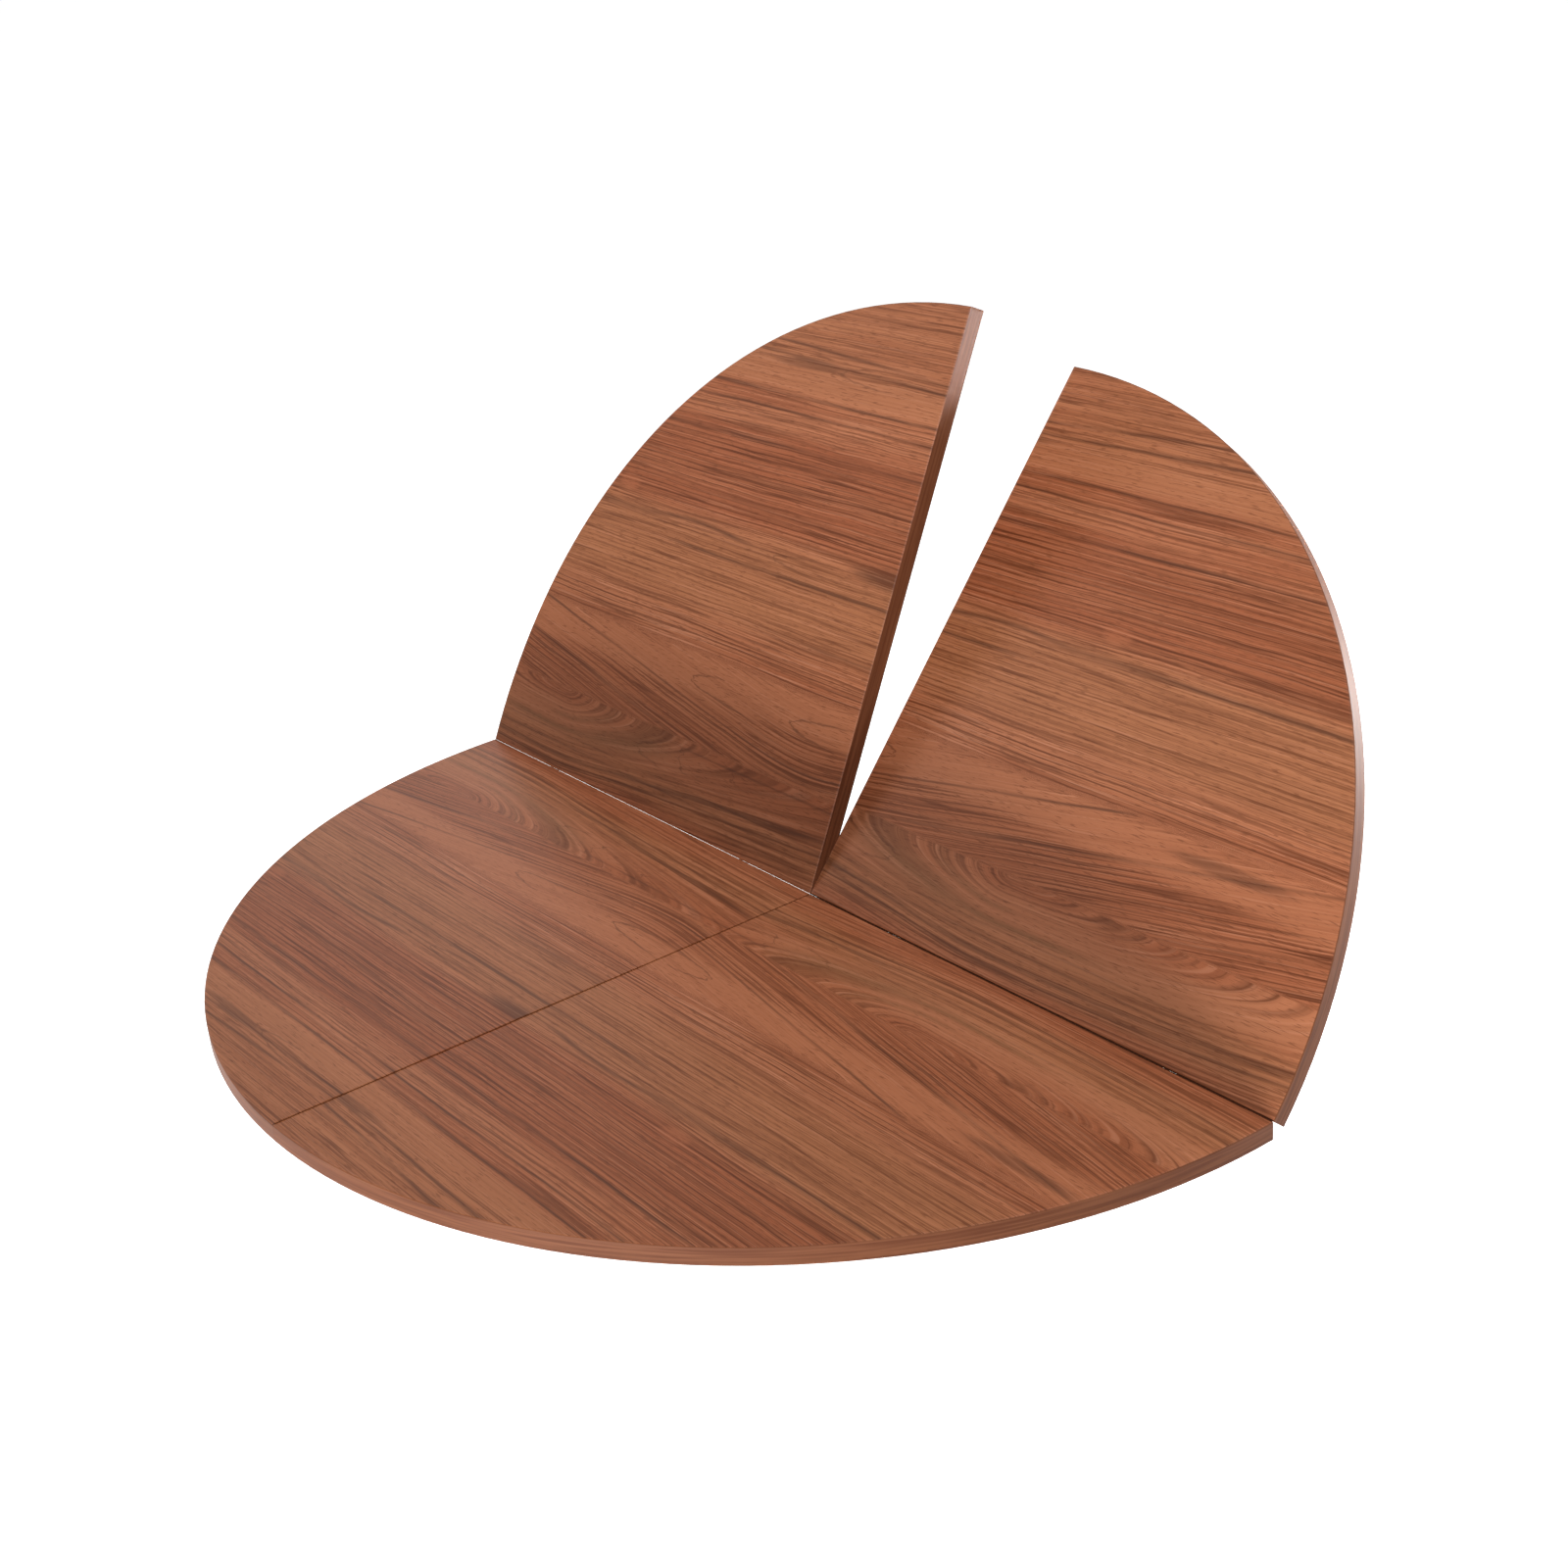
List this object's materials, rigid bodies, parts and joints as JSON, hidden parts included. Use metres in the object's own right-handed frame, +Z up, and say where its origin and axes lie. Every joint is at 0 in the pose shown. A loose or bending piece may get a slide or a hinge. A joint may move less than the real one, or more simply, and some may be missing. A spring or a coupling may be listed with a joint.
{
  "type": "folding round table top",
  "caption": "Round walnut-decor table top in quarter boards that fold up and then in half on concealed barrel hinges.",
  "frame": {"origin": "middle of the footprint, on the plane of the undersides of the flat front boards", "axes": "+Z up, +X along the fold line towards the right end, +Y towards the raised back boards"},
  "size_m": [1.2, 1.002, 0.5622],
  "materials": {
    "front_left_decor": "satin",
    "front_right_decor": "satin",
    "back_left_decor": "satin",
    "back_right_decor": "satin",
    "edge_band": "satin",
    "barrel": "satin",
    "hinge_leaf": "satin",
    "hinge_pin": "satin",
    "clamp_screw": "satin"
  },
  "bodies": {
    "front_left": {"front_left_board": "front_left_decor", "front_left_rim_band": "edge_band", "front_left_fold_band": "edge_band", "front_left_split_band": "edge_band", "left_hinge_front_barrels": "barrel", "left_hinge_front_pins": "hinge_pin", "left_hinge_front_screws": "clamp_screw", "split_hinge_left_barrels": "barrel", "split_hinge_left_pins": "hinge_pin", "split_hinge_left_screws": "clamp_screw"},
    "front_right": {"front_right_board": "front_right_decor", "front_right_rim_band": "edge_band", "front_right_fold_band": "edge_band", "front_right_split_band": "edge_band", "right_hinge_front_barrels": "barrel", "right_hinge_front_pins": "hinge_pin", "right_hinge_front_screws": "clamp_screw", "split_hinge_right_barrels": "barrel", "split_hinge_right_pins": "hinge_pin", "split_hinge_right_screws": "clamp_screw"},
    "back_left": {"back_left_board": "back_left_decor", "back_left_rim_band": "edge_band", "back_left_fold_band": "edge_band", "back_left_split_band": "edge_band", "left_hinge_back_barrels": "barrel", "left_hinge_back_pins": "hinge_pin", "left_hinge_back_screws": "clamp_screw"},
    "back_right": {"back_right_board": "back_right_decor", "back_right_rim_band": "edge_band", "back_right_fold_band": "edge_band", "back_right_split_band": "edge_band", "right_hinge_back_barrels": "barrel", "right_hinge_back_pins": "hinge_pin", "right_hinge_back_screws": "clamp_screw"},
    "left_front_leaves": {"left_hinge_front_leaves": "hinge_leaf"},
    "left_middle_leaves": {"left_hinge_middle_leaves": "hinge_leaf", "left_hinge_middle_pins": "hinge_pin"},
    "left_back_leaves": {"left_hinge_back_leaves": "hinge_leaf"},
    "right_front_leaves": {"right_hinge_front_leaves": "hinge_leaf"},
    "right_middle_leaves": {"right_hinge_middle_leaves": "hinge_leaf", "right_hinge_middle_pins": "hinge_pin"},
    "right_back_leaves": {"right_hinge_back_leaves": "hinge_leaf"},
    "split_left_leaves": {"split_hinge_left_leaves": "hinge_leaf"},
    "split_middle_leaves": {"split_hinge_middle_leaves": "hinge_leaf", "split_hinge_middle_pins": "hinge_pin"},
    "split_right_leaves": {"split_hinge_right_leaves": "hinge_leaf"}
  },
  "joints": [
    {"name": "left_fold", "type": "hinge", "parent": "front_left", "child": "back_left", "pos_m": [-0.3, 0.09898, 0.01805], "axis": [1, 0, 0], "range_deg": [-65.2, 114.8]},
    {"name": "split_fold", "type": "hinge", "parent": "front_left", "child": "front_right", "pos_m": [0, -0.20102, -0.00005], "axis": [0, 1, 0], "range_deg": [0, 180]},
    {"name": "right_fold", "type": "hinge", "parent": "front_right", "child": "back_right", "pos_m": [0.3, 0.09898, 0.01805], "axis": [1, 0, 0], "range_deg": [-49.6, 130.4]},
    {"name": "left_front_leaves_turn", "type": "hinge", "parent": "front_left", "child": "left_front_leaves", "pos_m": [-0.3, 0.09898, 0.01805], "axis": [1, 0, 0], "range_deg": [-16.3, 28.7]},
    {"name": "left_middle_leaves_turn", "type": "hinge", "parent": "front_left", "child": "left_middle_leaves", "pos_m": [-0.3, 0.09898, 0.01805], "axis": [1, 0, 0], "range_deg": [-32.6, 57.4]},
    {"name": "left_back_leaves_turn", "type": "hinge", "parent": "front_left", "child": "left_back_leaves", "pos_m": [-0.3, 0.09898, 0.01805], "axis": [1, 0, 0], "range_deg": [-48.9, 86.1]},
    {"name": "right_front_leaves_turn", "type": "hinge", "parent": "front_right", "child": "right_front_leaves", "pos_m": [0.3, 0.09898, 0.01805], "axis": [1, 0, 0], "range_deg": [-12.4, 32.6]},
    {"name": "right_middle_leaves_turn", "type": "hinge", "parent": "front_right", "child": "right_middle_leaves", "pos_m": [0.3, 0.09898, 0.01805], "axis": [1, 0, 0], "range_deg": [-24.8, 65.2]},
    {"name": "right_back_leaves_turn", "type": "hinge", "parent": "front_right", "child": "right_back_leaves", "pos_m": [0.3, 0.09898, 0.01805], "axis": [1, 0, 0], "range_deg": [-37.2, 97.8]},
    {"name": "split_left_leaves_turn", "type": "hinge", "parent": "front_left", "child": "split_left_leaves", "pos_m": [0, -0.20102, -0.00005], "axis": [0, 1, 0], "range_deg": [0, 45]},
    {"name": "split_middle_leaves_turn", "type": "hinge", "parent": "front_left", "child": "split_middle_leaves", "pos_m": [0, -0.20102, -0.00005], "axis": [0, 1, 0], "range_deg": [0, 90]},
    {"name": "split_right_leaves_turn", "type": "hinge", "parent": "front_left", "child": "split_right_leaves", "pos_m": [0, -0.20102, -0.00005], "axis": [0, 1, 0], "range_deg": [0, 135]}
  ],
  "couplings": [
    {"joint": "left_front_leaves_turn", "follows": "left_fold", "ratio": 0.25},
    {"joint": "left_middle_leaves_turn", "follows": "left_fold", "ratio": 0.5},
    {"joint": "left_back_leaves_turn", "follows": "left_fold", "ratio": 0.75},
    {"joint": "right_front_leaves_turn", "follows": "right_fold", "ratio": 0.25},
    {"joint": "right_middle_leaves_turn", "follows": "right_fold", "ratio": 0.5},
    {"joint": "right_back_leaves_turn", "follows": "right_fold", "ratio": 0.75},
    {"joint": "split_left_leaves_turn", "follows": "split_fold", "ratio": 0.25},
    {"joint": "split_middle_leaves_turn", "follows": "split_fold", "ratio": 0.5},
    {"joint": "split_right_leaves_turn", "follows": "split_fold", "ratio": 0.75}
  ]
}
